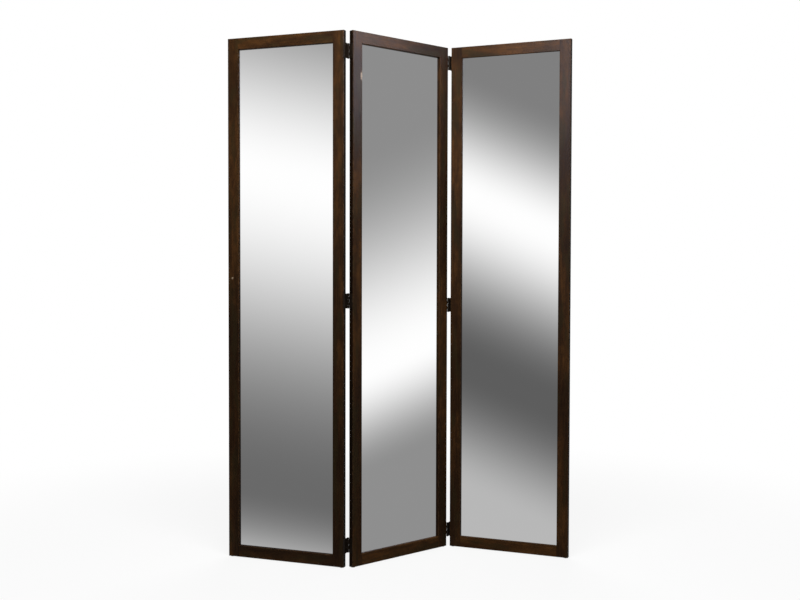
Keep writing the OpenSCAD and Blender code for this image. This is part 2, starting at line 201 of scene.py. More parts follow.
class Value:
    """A node's output that can stand in a Python expression. Every operator adds a Math node."""

    def __init__(self, tree, socket):
        self.tree = tree
        self.socket = socket

    def maths(self, operation, *others):
        return self.tree.value(
            "ShaderNodeMath", {"operation": operation}, dict(enumerate((self, *others))))

    def reflected(self, operation, other):
        return self.tree.value("ShaderNodeMath", {"operation": operation}, {0: other, 1: self})

    def __add__(self, other):
        return self.maths("ADD", other)

    def __radd__(self, other):
        return self.maths("ADD", other)

    def __sub__(self, other):
        return self.maths("SUBTRACT", other)

    def __rsub__(self, other):
        return self.reflected("SUBTRACT", other)

    def __mul__(self, other):
        return self.maths("MULTIPLY", other)

    def __rmul__(self, other):
        return self.maths("MULTIPLY", other)

    def __truediv__(self, other):
        return self.maths("DIVIDE", other)

    def __rtruediv__(self, other):
        return self.reflected("DIVIDE", other)

    def __pow__(self, other):
        return self.maths("POWER", other)

    def __abs__(self):
        return self.maths("ABSOLUTE")

    def least(self, other):
        return self.maths("MINIMUM", other)

    def most(self, other):
        return self.maths("MAXIMUM", other)

    def sine(self):
        return self.maths("SINE")

    def eased(self, start, end, low=0.0, high=1.0):
        """Goes smoothly from low at start to high at end, and stays level outside them."""
        return self.tree.value(
            "ShaderNodeMapRange", {"interpolation_type": "SMOOTHSTEP"},
            {"Value": self, "From Min": start, "From Max": end, "To Min": low, "To Max": high})


class Tree:
    """The nodes of a material or of the world."""

    def __init__(self, owner):
        owner.use_nodes = True
        self.nodes = owner.node_tree.nodes
        self.links = owner.node_tree.links
        self.nodes.clear()

    def add(self, kind, settings=None, inputs=None):
        """Adds a node: first its settings, with a ramp's stops under "stops", then the values or
        links of its inputs by name or number."""
        node = self.nodes.new(kind)
        for name, setting in (settings or {}).items():
            if name == "stops":
                ramp = node.color_ramp.elements
                while len(ramp) < len(setting):
                    ramp.new(1.0)
                for stop, (place, colour) in zip(ramp, setting):
                    stop.position = place
                    stop.color = (*colour, 1.0)
            else:
                setattr(node, name, setting)
        for key, given in (inputs or {}).items():
            if isinstance(given, Value):
                self.links.new(given.socket, node.inputs[key])
            else:
                node.inputs[key].default_value = given
        return node

    def value(self, kind, settings=None, inputs=None, output=0):
        return Value(self, self.add(kind, settings, inputs).outputs[output])

    def blend(self, factor, first, second, mode="MIX"):
        """Mixes two colours: all first at factor 0 and all second at factor 1."""
        first, second = (
            given if isinstance(given, Value) else (*given[:3], 1.0) for given in (first, second))
        return self.value(
            "ShaderNodeMix", {"data_type": "RGBA", "blend_type": mode, "clamp_factor": True},
            {0: factor, 6: first, 7: second}, output=2)

    def join(self, x, y, z):
        return self.value("ShaderNodeCombineXYZ", None, {"X": x, "Y": y, "Z": z})

    def split(self, vector):
        node = self.add("ShaderNodeSeparateXYZ", None, {"Vector": vector})
        return tuple(Value(self, output) for output in node.outputs)

    def noise(self, vector, scale=1.0, detail=2.0, roughness=0.5, distortion=0.0):
        return self.value(
            "ShaderNodeTexNoise", {"noise_dimensions": "3D"},
            {"Vector": vector, "Scale": scale, "Detail": detail, "Roughness": roughness,
             "Distortion": distortion})

    def panel_axes(self, panel):
        """The point's place along, through and up its own panel, in metres."""
        point = self.value("ShaderNodeTexCoord", output="Object")
        return self.split(self.value(
            "ShaderNodeMapping", {"vector_type": "TEXTURE"},
            {"Vector": point, "Location": panel.origin, "Rotation": (0.0, 0.0, panel.turn)}))

    def object_axes(self):
        return self.split(self.value("ShaderNodeTexCoord", output="Object"))

    def bump(self, height, distance, strength=1.0):
        return self.value(
            "ShaderNodeBump", None, {"Height": height, "Distance": distance, "Strength": strength})

    def finish(self, **inputs):
        """Ends a material in the Principled shader, its inputs given with _ for a space."""
        shader = self.value(
            "ShaderNodeBsdfPrincipled", None,
            {name.replace("_", " "): given for name, given in inputs.items()})
        self.add("ShaderNodeOutputMaterial", None, {"Surface": shader})


def new_material(name):
    material = bpy.data.materials.new(name)
    return material, Tree(material)


def give(nodes, material):
    """Gives CAD nodes a material in place of the plain one that they came with."""
    for node in nodes:
        mesh_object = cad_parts[node]
        if not mesh_object.material_slots:
            mesh_object.data.materials.append(material)
        for place in mesh_object.material_slots:
            place.material = material


# --- Wood ------------------------------------------------------------------------------------

def middle_of(a, b, c):
    """The second smallest of three values: least(most(a, b), most(least(a, b), c))."""
    return a.least(b).most(a.most(b).least(c))


def times(colour, share):
    """A paler or darker shade of a colour, no part of it over 1."""
    return [min(1.0, share * part) for part in colour]


def wood_material(name, panel, upright, finish, warmth=0.0, coated=True, pale_spot=None):
    """Stained wood whose grain runs up the panel, or along it where upright is False. Only
    coated wood has the lacquer. A pale spot is given by its middle along and up the panel,
    then its half width and half height."""
    material, tree = new_material(name)
    x, y, z = tree.panel_axes(panel)
    along, across = (z, x) if upright else (x, z)
    along, across = along + panel.offcut, across + panel.offcut

    def field(across_scale, along_scale, **settings):
        return tree.noise(
            tree.join(across * across_scale, y * across_scale, along * along_scale), **settings)

    # The figure's rings, the fibres and pores, and how unevenly the wood took the stain
    figure = field(16.0, 1.3, detail=3.0, roughness=0.55, distortion=0.35)
    rings = (figure * 62.0).sine() * 0.5 + 0.5
    fibre = field(620.0, 9.0, detail=3.0, roughness=0.6)
    pores = field(1500.0, 42.0, detail=1.0).eased(0.60, 0.72)
    patches = field(13.0, 2.6, detail=2.0, roughness=0.6, distortion=0.25)
    mottle = field(70.0, 26.0, detail=3.0, roughness=0.65)
    cool = field(34.0, 7.0, detail=2.0, roughness=0.6)

    stain = patches.eased(0.36, 0.62) * 0.62 + mottle.eased(0.32, 0.70) * 0.30 + warmth
    colour = tree.blend(stain * 1.9, finish.dark, finish.middle)
    colour = tree.blend((stain - 0.52) * 1.9, colour, finish.warm)
    colour = tree.blend(rings * 0.34, colour, finish.dark)
    colour = tree.blend(fibre.eased(0.35, 0.75) * 0.30, colour, finish.warm)
    colour = tree.blend(pores * 0.55, colour, times(finish.dark, 0.4))
    colour = tree.blend(cool.eased(0.48, 0.64) * 0.55, colour, finish.green)

    # Distances from the faces of the frame. A stile has its inner edge only beside the glass,
    # not where the rails butt on it
    half_width = panel.width / 2
    half_height = (panel.top - panel.bottom) / 2
    centre_z = (panel.top + panel.bottom) / 2
    out_x = abs(x - half_width)
    out_z = abs(z - centre_z)
    from_sight_side = abs(out_x - (half_width - panel.stile_width))
    past_sight_end = out_z - (half_height - panel.rail_height)
    from_face = y.least(panel.thickness - y)

    # Painted shade: the stiles' outer side faces, facing the gaps between panels, are darkened
    if coated and upright:
        shaded_side_face = (half_width - out_x).eased(0.45 * MM, 0.15 * MM)
        colour = tree.blend(shaded_side_face * 0.8, colour, times(finish.dark, 0.3))

    # Wear and a painted highlight: a lighter line lies where two of the distances are small
    if upright:
        from_side = (half_width - out_x).least(from_sight_side.most(past_sight_end))
        near = middle_of(from_side, from_face, half_height - out_z)
    else:
        near = (half_height - out_z).least(abs(past_sight_end)).most(from_face)
    ragged = field(120.0, 45.0, detail=3.0, roughness=0.7).eased(0.36, 0.66)
    wear_and_highlight = near.eased(finish.wear_and_highlight_width * 1.25, finish.wear_and_highlight_width * 0.35) * ragged
    colour = tree.blend(wear_and_highlight * 0.34, colour, finish.wear_and_highlight)

    # A pale spot with a ragged outline, lighter than the wood round it
    if pale_spot:
        spot_x, spot_z, half_x, half_z = pale_spot
        spot_outline = tree.noise(tree.join(x * 420.0, y * 420.0, z * 95.0), detail=3.0, roughness=0.7)
        reach = (((x - spot_x) / half_x) ** 2 + ((z - spot_z) / half_z) ** 2) ** 0.5
        pale_spot_tone = (reach + (spot_outline - 0.5) * 1.6).eased(1.0, 0.55)
        colour = tree.blend(pale_spot_tone * 0.58, colour, finish.pale_spot_tone)

    # The thin dark line of the joint between stile and rail
    if coated and not upright:
        seam = from_sight_side.eased(0.35 * MM, 0.10 * MM)
        colour = tree.blend(seam * 0.8, colour, times(finish.dark, 0.2))

    if coated:
        rough = mottle.eased(0.25, 0.75, 0.40, 0.52) + wear_and_highlight * 0.10
    else:
        rough = mottle.eased(0.2, 0.8, 0.62, 0.78)
    height = fibre * 0.5 - pores * 0.7 + rings * 0.12
    tree.finish(
        Base_Color=colour,
        Roughness=rough,
        Coat_Weight=finish.lacquer if coated else 0.0,
        Coat_Roughness=finish.lacquer_haze,
        Coat_IOR=1.5,
        Specular_IOR_Level=0.015,
        Normal=tree.bump(height, 0.06 * MM, 0.5))
    return material


def dowel_material(name):
    """Plain beech with its short dark flecks."""
    material, tree = new_material(name)
    x, y, z = tree.object_axes()
    grain = tree.noise(tree.join(x * 60.0, y * 60.0, z * 700.0), detail=3.0, roughness=0.6)
    flecks = tree.noise(tree.join(x * 500.0, y * 500.0, z * 1600.0), detail=1.0).eased(0.62, 0.72)
    colour = tree.blend(grain, (0.52, 0.34, 0.17), (0.40, 0.24, 0.11))
    colour = tree.blend(flecks * 0.5, colour, (0.22, 0.11, 0.05))
    tree.finish(Base_Color=colour, Roughness=grain.eased(0.3, 0.7, 0.55, 0.7),
                Normal=tree.bump(grain, 0.05 * MM, 0.5))
    return material


# --- Glass and board -------------------------------------------------------------------------

def mirror_material(name, panel, finish):
    """Silvered glass: a bright face with the faintest film of dust, and a ground, greenish edge."""
    material, tree = new_material(name)
    x, y, z = tree.panel_axes(panel)
    half_width = panel.width / 2
    half_height = (panel.top - panel.bottom) / 2
    centre_z = (panel.top + panel.bottom) / 2
    from_side = half_width - panel.glass_margin - abs(x - half_width)
    from_end = half_height - panel.glass_margin - abs(z - centre_z)
    from_edge = from_side.least(from_end)
    edge = from_edge.eased(0.45 * MM, 0.25 * MM)
    rim = from_edge.eased(16.0 * MM, 9.0 * MM)
    film = tree.noise(
        tree.join((x + panel.offcut) * 5.0, y * 5.0, (z + panel.offcut) * 3.0),
        detail=4.0, roughness=0.6, distortion=0.4)
    specks = tree.noise(tree.join(x * 900.0, y * 900.0, z * 900.0), detail=1.0).eased(0.76, 0.84)
    dusty = film.eased(0.35, 0.75) * 0.02 + rim * 0.03
    silver = tree.blend(dusty, finish.silver, (0.72, 0.72, 0.72))
    silver = tree.blend(specks * 0.04, silver, (0.45, 0.45, 0.44))
    tree.finish(
        Base_Color=tree.blend(edge, silver, finish.cut_edge),
        Metallic=1.0 - edge,
        Roughness=film.eased(0.3, 0.8, finish.haze * 0.6, finish.haze * 1.6) + edge * 0.35)
    return material


def board_material(name, panel, finish):
    """Hardboard: brown pressed fibres with darker flecks and a slight leathery grain."""
    material, tree = new_material(name)
    x, y, z = tree.panel_axes(panel)
    point = tree.join(x + panel.offcut, y, z + panel.offcut)
    clouds = tree.noise(point, scale=7.0, detail=4.0, roughness=0.65, distortion=0.5)
    fibres = tree.noise(point, scale=300.0, detail=4.0, roughness=0.75, distortion=2.0)
    strands = tree.noise(point, scale=130.0, detail=2.0, roughness=0.5, distortion=3.5)
    flecks = tree.noise(point, scale=520.0, detail=1.0).eased(0.63, 0.72)
    pale = times(finish.board, 1.9)
    dark = times(finish.board, 0.35)
    colour = tree.blend(clouds.eased(0.3, 0.7) * 0.55, finish.board, pale)
    colour = tree.blend(fibres.eased(0.40, 0.62) * 0.50, colour, pale)
    colour = tree.blend(strands.eased(0.55, 0.62) * 0.35, colour, dark)
    colour = tree.blend(flecks * 0.75, colour, dark)
    tree.finish(Base_Color=colour, Roughness=fibres.eased(0.3, 0.7, 0.55, 0.72),
                Normal=tree.bump(fibres + clouds * 0.3, 0.10 * MM, 0.6))
    return material


# --- Metal and nylon -------------------------------------------------------------------------

def bronze_material(name, finish, wear=0.5, shine=0.40):
    """Blackened bronze, rubbed to the metal here and there."""
    material, tree = new_material(name)
    point = tree.join(*tree.object_axes())
    rub = tree.noise(point, scale=230.0, detail=4.0, roughness=0.7).eased(0.50, 0.78)
    clouds = tree.noise(point, scale=60.0, detail=3.0, roughness=0.6)
    grit = tree.noise(point, scale=1600.0, detail=2.0)
    colour = tree.blend(clouds.eased(0.3, 0.7), finish.bronze, times(finish.bronze, 1.7))
    colour = tree.blend(rub * wear, colour, finish.rubbed)
    tree.finish(
        Base_Color=colour, Metallic=rub * (0.6 * wear) + 0.15, Specular_IOR_Level=0.08,
        Roughness=clouds.eased(0.3, 0.7, shine, shine + 0.14) - rub * 0.08,
        Normal=tree.bump(grit, 0.02 * MM, 0.5))
    return material


def wire_material(name, finish):
    """Bright drawn wire, a little dulled."""
    material, tree = new_material(name)
    point = tree.join(*tree.object_axes())
    dull = tree.noise(point, scale=700.0, detail=3.0, roughness=0.6)
    spots = tree.noise(point, scale=2400.0, detail=2.0).eased(0.62, 0.76)
    colour = tree.blend(dull.eased(0.3, 0.7) * 0.5, finish.steel, (0.26, 0.24, 0.21))
    colour = tree.blend(spots * 0.5, colour, (0.10, 0.06, 0.035))
    tree.finish(Base_Color=colour, Metallic=0.9, Roughness=dull.eased(0.3, 0.7, 0.28, 0.46),
                Normal=tree.bump(dull, 0.02 * MM, 0.4))
    return material


def brass_material(name, finish):
    """Dull brass, browned with age."""
    material, tree = new_material(name)
    point = tree.join(*tree.object_axes())
    age = tree.noise(point, scale=500.0, detail=4.0, roughness=0.7)
    colour = tree.blend(age.eased(0.42, 0.70), finish.brass, (0.075, 0.045, 0.024))
    tree.finish(Base_Color=colour, Metallic=0.85, Roughness=age.eased(0.3, 0.7, 0.32, 0.52),
                Normal=tree.bump(age, 0.03 * MM, 0.5))
    return material


def nylon_material(name, finish):
    """Moulded nylon, scuffed where it slides."""
    material, tree = new_material(name)
    point = tree.join(*tree.object_axes())
    scuffs = tree.noise(
        point, scale=850.0, detail=3.0, roughness=0.7, distortion=0.8).eased(0.50, 0.72)
    colour = tree.blend(scuffs * 0.5, finish.nylon, (0.045, 0.042, 0.040))
    tree.finish(Base_Color=colour, Roughness=scuffs.eased(0.0, 1.0, 0.42, 0.62),
                Normal=tree.bump(scuffs, 0.03 * MM, 0.5))
    return material


# --- Turned pieces ---------------------------------------------------------------------------

def solids_of(node):
    """The separate solids of a CAD node, each as its corner points. Corners in one place are
    one, and each corner takes the lowest number among its triangles until nothing changes."""
    places, index = np.unique(np.round(corners_of(node), 6), axis=0, return_inverse=True)
    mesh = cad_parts[node].data
    corners = np.empty(len(mesh.loops), np.int32)
    mesh.loops.foreach_get("vertex_index", corners)
    triangles = index.reshape(-1)[corners].reshape(-1, 3)
    number = np.arange(len(places))
    while True:
        lower = number.copy()
        np.minimum.at(lower, triangles, number[triangles].min(axis=1, keepdims=True))
        if np.array_equal(lower, number):
            break
        number = lower
    return [places[number == solid] for solid in np.unique(number)]


def heads_of(node, panel):
    """Where the pins, screws or glides of a CAD node have their heads: the middle of each
    head's face, and the three directions that its turned shape is drawn on, the last one out of
    the head. A solid is longest along one of its panel's own directions, and its wide end is
    the head."""
    ways = np.array([[*panel.along, 0.0], [*panel.back, 0.0], [0.0, 0.0, 1.0]])
    near_end = 0.01 * MM
    middles = []
    turns = []
    for solid in solids_of(node):
        own = solid @ ways.T
        low = own.min(axis=0)
        high = own.max(axis=0)
        way = int(np.argmax(high - low))
        wide_at_low = np.ptp(own[own[:, way] < low[way] + near_end], axis=0).sum()
        wide_at_high = np.ptp(own[own[:, way] > high[way] - near_end], axis=0).sum()
        head_at_high = wide_at_high > wide_at_low
        middle = (low + high) / 2
        middle[way] = high[way] if head_at_high else low[way]
        out = ways[way] if head_at_high else -ways[way]
        beside = ways[(way + 1) % 3]
        middles.append(middle @ ways)
        turns.append([beside, np.cross(out, beside), out])
    return np.array(middles), np.array(turns)


# Faces that meet at more than this keep a sharp edge
SHARP_ANGLE = math.radians(38.0)


def turned_piece(name, heads, radius, height, materials, second_from=None):
    """A turned shape on every head. The grids of radius and height, in millimetres, hold a row
    for each ring from the head down and a column for each angle, and a point is
    middle + radius * (cos(angle) * first + sin(angle) * second) + height * third direction.
    A point on the axis closes each end. Rings from second_from on take the second material."""
    middles, turns = heads
    rings, spokes = radius.shape
    angle = np.linspace(0.0, 2.0 * np.pi, spokes, endpoint=False)[None, :]
    shape = np.stack([radius * np.cos(angle), radius * np.sin(angle), height], axis=-1)
    ends = [[0.0, 0.0, height[0].mean()], [0.0, 0.0, height[-1].mean()]]
    shape = np.vstack([shape.reshape(-1, 3), ends]) * MM
    points = (middles[:, None, :] + shape @ turns).reshape(-1, 3)

    start = (np.arange(len(middles)) * len(shape))[:, None, None, None]
    ring, spoke = np.meshgrid(np.arange(rings - 1), np.arange(spokes), indexing="ij")
    after = (spoke + 1) % spokes
    upper = ring * spokes
    lower = upper + spokes
    quads = start + np.stack([upper + spoke, lower + spoke, lower + after, upper + after], axis=-1)
    around = np.arange(spokes)
    beyond = (around + 1) % spokes
    last = (rings - 1) * spokes
    poles = np.full(spokes, rings * spokes)
    at_head = np.stack([poles, around, beyond], axis=-1)
    at_point = np.stack([last + around, poles + 1, last + beyond], axis=-1)
    fans = start + np.stack([at_head, at_point])

    mesh = bpy.data.meshes.new(name)
    faces = quads.reshape(-1, 4).tolist() + fans.reshape(-1, 3).tolist()
    mesh.from_pydata(points.tolist(), [], faces)
    for material in materials:
        mesh.materials.append(material)
    if second_from is not None:
        sides = np.broadcast_to((ring >= second_from)[None], quads.shape[:-1])
        closings = np.broadcast_to(np.array([[False], [True]]), fans.shape[:-1])
        second = np.concatenate([sides.reshape(-1), closings.reshape(-1)])
        mesh.polygons.foreach_set("material_index", second.astype(np.int32))
    mesh.polygons.foreach_set("use_smooth", np.ones(len(mesh.polygons), bool))
    mesh.set_sharp_from_angle(angle=SHARP_ANGLE)
    mesh.update()
    piece = bpy.data.objects.new(name, mesh)
    bpy.context.scene.collection.objects.link(piece)
    return piece


def rings_of(profile, spokes):
    """Grids of radius and height from a list of (radius, height), the same at every angle."""
    profile = np.array(profile)
    level = np.ones((1, spokes))
    return profile[:, :1] * level, profile[:, 1:] * level


def screw_shape(spokes=32):
    """A countersunk wood screw. In its face four arms cut a cross: the depth is
    deepest * (1 - (radius / reach)^2), and fades out over a slope where the nearer arm's middle
    line is more than half an arm away. Its thread is a ridge on the core, whose height falls
    off on both sides of a line that climbs one pitch a turn. Both thin out to the point."""
    angle = np.linspace(0.0, 2.0 * np.pi, spokes, endpoint=False)[None, :]
    face = np.array([0.12, 0.35, 0.60, 0.85, 1.10, 1.35, 1.60, 1.85, 2.25, 2.62])[:, None]
    deepest, reach, half_arm, slope = 1.1, 1.65, 0.42, 0.18
    from_arm = face * np.minimum(np.abs(np.sin(angle)), np.abs(np.cos(angle)))
    arms = np.clip((half_arm - from_arm) / slope + 0.5, 0.0, 1.0)
    recess = -deepest * np.clip(1.0 - (face / reach) ** 2, 0.0, 1.0) * arms
    neck_radius, neck_height = rings_of(
        [(2.66, -0.04), (2.10, -0.62), (1.49, -1.22), (1.48, -2.5), (1.48, -4.2)], spokes)
    pitch, core_radius, ridge = 1.25, 1.12, 0.36
    climb = np.arange(-4.6, -15.4, -pitch / 5)[:, None]
    from_crest = np.abs((climb / pitch + angle / (2.0 * np.pi)) % 1.0 - 0.5) * 2.0
    taper = np.clip((climb + 16.0) / 3.4, 0.06, 1.0)
    thread = taper * (core_radius + ridge * np.clip(1.0 - from_crest * 1.5, 0.0, 1.0))
    tip_radius, tip_height = rings_of([(0.06, -15.9)], spokes)
    radius = np.vstack([face * np.ones_like(angle), neck_radius, thread, tip_radius])
    height = np.vstack([recess, neck_height, climb * np.ones_like(angle), tip_height])
    return radius, height


def bead_pin_shape(spokes=14):
    """A short nail: a head whose dome falls by (radius / 1.3)^2.5, grip rings below it and a
    slim point."""
    dome = [(r, -0.38 * (r / 1.3) ** 2.5) for r in (0.30, 0.65, 0.95, 1.15, 1.27)]
    under = [(1.28, -0.47), (0.79, -0.49)]
    grip = [(0.79 - 0.07 * (i % 2), -1.2 - 0.35 * i) for i in range(7)]
    shank = [(0.78, -4.0), (0.78, -17.2), (0.45, -18.5), (0.06, -19.4)]
    return rings_of(dome + under + grip + shank, spokes)


def glide_shape(spokes=40):
    """A nail-on glide: a dimple with the nail's flat head in it, a flat foot that rolls over to
    the side as a quarter of an oval, and a ringed nail. Its foot is at height 0."""
    dimple = [(0.9, -0.36), (1.5, -0.36), (1.6, -0.50), (1.75, -0.52), (2.3, -0.10), (2.8, 0.0)]
    roll_start, roll_width, roll_drop = 5.4, 1.6, 1.035
    roll = [(roll_start + roll_width * math.sin(a), roll_drop * (math.cos(a) - 1.0) - 0.02)
            for a in np.linspace(0.15, math.pi / 2, 7)]
    side = [(7.0, -1.4), (6.98, -1.88), (6.85, -1.98), (3.0, -1.99), (1.2, -2.0)]
    nail = [(1.19 - 0.12 * (i % 2), -3.2 - 0.55 * i) for i in range(15)]
    point = [(1.10, -13.2), (0.55, -14.8), (0.06, -15.9)]
    profile = dimple + [(5.0, 0.0)] + roll + side
    return rings_of(profile + nail + point, spokes), len(profile)


# --- The studio ------------------------------------------------------------------------------

# Each lamp: its name, its place, what it points at, its two sizes, its share of the power that
# the settings give, and if it lights the lacquer's sheen alone
LAMPS = (
    ("main lamp", (0.0, -1.30, 2.85), (0.0, 0.0, 1.50), (1.6, 0.9), 1.0, False),
    ("back lamp", (0.2, 2.0, 2.9), (0.0, 0.0, 1.1), (1.8, 1.2), 0.6, False),
    ("right sheen", (3.3, -1.0, 2.60), (0.0, 0.0, 1.6), (0.9, 1.2), 1.0, True),
    ("front sheen", (-1.5, -4.0, 2.60), (0.3, 0.0, 1.6), (1.2, 1.2), 1.5, True),
)
WHITE_LIGHT = (1.0, 1.0, 1.0)
COOL_LIGHT = (0.95, 0.97, 1.14)
WHITE_PAINT = (1.0, 1.0, 1.0, 1.0)
WHITE_LEVEL = 255.0
SILVERING = 0.9


def white_bands(tree, direction):
    """The tent's soft grey and white bands, by the way that a glossy ray goes. A band is a sum
    of eased steps in the ray's height in degrees, as screen levels. It leans a little: its
    height shifts with the sine of the angle to the way that its mirror looks. Further down the
    rays find the pale floor."""
    x, y, z = tree.split(direction)
    height = z.maths("ARCSINE") * math.degrees(1.0)

    def lean(bearing, slope):
        way = math.radians(bearing)
        turn = math.sin(way) * y - math.cos(way) * x
        return height + (turn * math.degrees(slope)).least(4.0).most(-4.0)

    left = lean(228.2, 0.21)
    left = (254.0 - left.eased(5.2, -11.3, 0.0, 149.0) - left.eased(5.3, 17.0, 0.0, 130.0)
            + left.eased(-11.6, -18.0, 0.0, 149.0))
    middle = lean(100.02, -0.453)
    middle = 140.0 + middle.eased(6.4, -5.6, 0.0, 114.0) - middle.eased(-5.8, -11.1, 0.0, 112.0)
    right = lean(220.37, 0.453)
    right = (127.0 + right.eased(10.4, 4.0, 0.0, 127.0) - right.eased(3.8, -4.8, 0.0, 161.0)
             + right.eased(-5.6, -11.8, 0.0, 90.0))

    # The way of a ray, in degrees from a bearing of 222, tells which mirror it comes from
    reference = math.radians(222.0)
    bearing = tree.value(
        "ShaderNodeMath", {"operation": "ARCTAN2"},
        {0: math.cos(reference) * x - math.sin(reference) * y,
         1: math.sin(reference) * x + math.cos(reference) * y}) * math.degrees(1.0)
    to_left = bearing.eased(-1.0, 1.6) * bearing.eased(170.0, 120.0)
    to_middle = bearing.eased(-165.0, -145.0) * bearing.eased(-70.0, -105.0)
    level = right + (left - right) * to_left
    level = level + (middle - level) * to_middle
    pale_floor = height.eased(-60.0, -19.0, 236.0, 214.0)
    level = level + (pale_floor - level) * height.eased(-18.5, -34.0)

    # From screen levels to light, and a little more for what the silvering takes
    light = ((level + 0.055 * WHITE_LEVEL) / (1.055 * WHITE_LEVEL)) ** 2.4
    return light / SILVERING


class MIRROR_OT_stage(bpy.types.Operator):
    """Lay the pale floor, hang the lamps, set the room's light and place the camera"""
    bl_idname = "floor_mirror.stage"
    bl_label = "Studio"

    def execute(self, context):
        studio = context.scene.floor_mirror_studio
        self.lay_floor(studio)
        self.light_room(context, studio)
        self.place_camera(context, studio)
        context.scene.view_settings.view_transform = "Standard"
        return {"FINISHED"}

    def lay_floor(self, studio):
        """A disc: radius times the cosine and sine of the angle, on rings that widen outwards."""
        rings, spokes = 12, 72
        radius = studio.floor_size * np.linspace(0.0, 1.0, rings + 1)[1:, None] ** 2
        angle = np.linspace(0.0, 2.0 * np.pi, spokes, endpoint=False)[None, :]
        grid = np.stack(
            [radius * np.cos(angle), radius * np.sin(angle), 0.0 * radius * angle], axis=-1)
        points = np.vstack([[[0.0, 0.0, 0.0]], grid.reshape(-1, 3)])
        ring, spoke = np.meshgrid(np.arange(rings - 1), np.arange(spokes), indexing="ij")
        after = (spoke + 1) % spokes
        inner = 1 + ring * spokes
        outer = inner + spokes
        quads = np.stack([inner + spoke, outer + spoke, outer + after, inner + after], axis=-1)
        around = np.arange(spokes)
        fan = np.stack([0 * around, 1 + around, 1 + (around + 1) % spokes], axis=-1)
        mesh = bpy.data.meshes.new("studio floor")
        mesh.from_pydata(points.tolist(), [], fan.tolist() + quads.reshape(-1, 4).tolist())
        mesh.materials.append(self.floor_material(studio))
        floor = bpy.data.objects.new("studio_floor", mesh)
        bpy.context.scene.collection.objects.link(floor)
        floor.visible_glossy = False

    def floor_material(self, studio):
        """Pale matte paint, which the camera sees fade to white around the object."""
        material, tree = new_material("pale floor")
        x, y, z = tree.object_axes()
        away = (x * x + y * y) ** 0.5
        faint = tree.noise(tree.join(x, y, z), scale=3.0, detail=2.0)
        paint = tree.blend(faint * 0.05, studio.floor_tone, (0.55, 0.55, 0.55))
        matte = tree.value("ShaderNodeBsdfDiffuse", None, {"Color": paint})
        white = tree.value("ShaderNodeEmission", None, {"Color": WHITE_PAINT, "Strength": 1.0})
        seen = tree.value("ShaderNodeLightPath", output="Is Camera Ray")
        fade = away.eased(0.9, 2.6, 0.84, 1.0) * seen
        shader = tree.value("ShaderNodeMixShader", None, {0: fade, 1: matte, 2: white})
        tree.add("ShaderNodeOutputMaterial", None, {"Surface": shader})
        return material

    def light_room(self, context, studio):
        """The camera sees white, glossy rays the bands, and all other rays a soft dome."""
        world = bpy.data.worlds.new("studio")
        context.scene.world = world
        tree = Tree(world)
        direction = tree.value("ShaderNodeTexCoord", output="Generated")
        path = tree.add("ShaderNodeLightPath")
        camera, transmission, glossy = (
            Value(tree, path.outputs[name])
            for name in ("Is Camera Ray", "Is Transmission Ray", "Is Glossy Ray"))
        x, y, z = tree.split(direction)
        dome = z.eased(-0.3, 0.8, 0.12, 1.55) * studio.dome
        bands = white_bands(tree, direction)
        level = dome + (bands - dome) * glossy
        level = level + (1.0 - level) * camera.most(transmission)
        light = tree.value("ShaderNodeBackground", None, {"Color": WHITE_PAINT, "Strength": level})
        tree.add("ShaderNodeOutputWorld", None, {"Surface": light})

        for name, place, target, size, share, sheen_only in LAMPS:
            power = studio.sheen_power if sheen_only else studio.key_power
            self.hang_lamp(context, name, place, target, size, share * power, sheen_only)

    def hang_lamp(self, context, name, place, target, size, power, sheen_only):
        """A soft lamp that the mirrors don't show, or one that only the frames' lacquer shows."""
        lamp = bpy.data.lights.new(name, "AREA")
        lamp.shape = "RECTANGLE"
        lamp.size, lamp.size_y = size
        lamp.energy = power
        lamp.color = COOL_LIGHT if sheen_only else WHITE_LIGHT
        hung = bpy.data.objects.new(name, lamp)
        turn = (Vector(place) - Vector(target)).to_track_quat("Z", "Y")
        hung.matrix_world = Matrix.Translation(place) @ turn.to_matrix().to_4x4()
        hung.visible_camera = False
        hung.visible_diffuse = not sheen_only
        parts = FRAME_PARTS if sheen_only else ("mirror",)
        linked = bpy.data.collections.new(name)
        for panel in PANELS.values():
            for part in parts:
                linked.objects.link(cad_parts[panel.node(part)])
        for entry in linked.collection_objects:
            entry.light_linking.link_state = "INCLUDE" if sheen_only else "EXCLUDE"
        hung.light_linking.receiver_collection = linked
        context.scene.collection.objects.link(hung)

    def place_camera(self, context, studio):
        """Stands the camera in front of the mirrors, a little dipped and leaned over."""
        camera = bpy.data.cameras.new("camera")
        camera.sensor_width = 36.0
        camera.lens = studio.lens
        camera.clip_end = 200.0
        stand = bpy.data.objects.new("camera", camera)
        stand.matrix_world = (
            Matrix.Translation(studio.camera_place)
            @ Matrix.Rotation(math.pi / 2 - studio.camera_dip, 4, "X")
            @ Matrix.Rotation(studio.camera_roll, 4, "Z"))
        context.scene.collection.objects.link(stand)
        context.scene.camera = stand


# --- The pieces ------------------------------------------------------------------------------

# The pale spot at the inner edge of a panel's left stile: its middle along and up the panel,
# then its half width and half height
PALE_SPOTS = {"middle": (36.8 * MM, 1.653, 6.4 * MM, 18.0 * MM)}

# How much of the wood's warmth shows through the stain of each rail
RAIL_WARMTH = {
    "left": {"top_rail": 0.20, "bottom_rail": 0.04},
    "middle": {"top_rail": 0.04, "bottom_rail": 0.44},
    "right": {"top_rail": 0.16, "bottom_rail": 0.42},
}
BEAD_WARMTH = 0.06


class MIRROR_OT_stiles(bpy.types.Operator):
    """Stain and lacquer the six stiles, with the grain upright"""
    bl_idname = "floor_mirror.stiles"
    bl_label = "Stiles"

    def execute(self, context):
        finish = context.scene.floor_mirror_wood
        for side, panel in PANELS.items():
            material = wood_material(
                f"{side} stile wood", panel, True, finish, pale_spot=PALE_SPOTS.get(side))
            give([panel.node("left_stile"), panel.node("right_stile")], material)
        return {"FINISHED"}


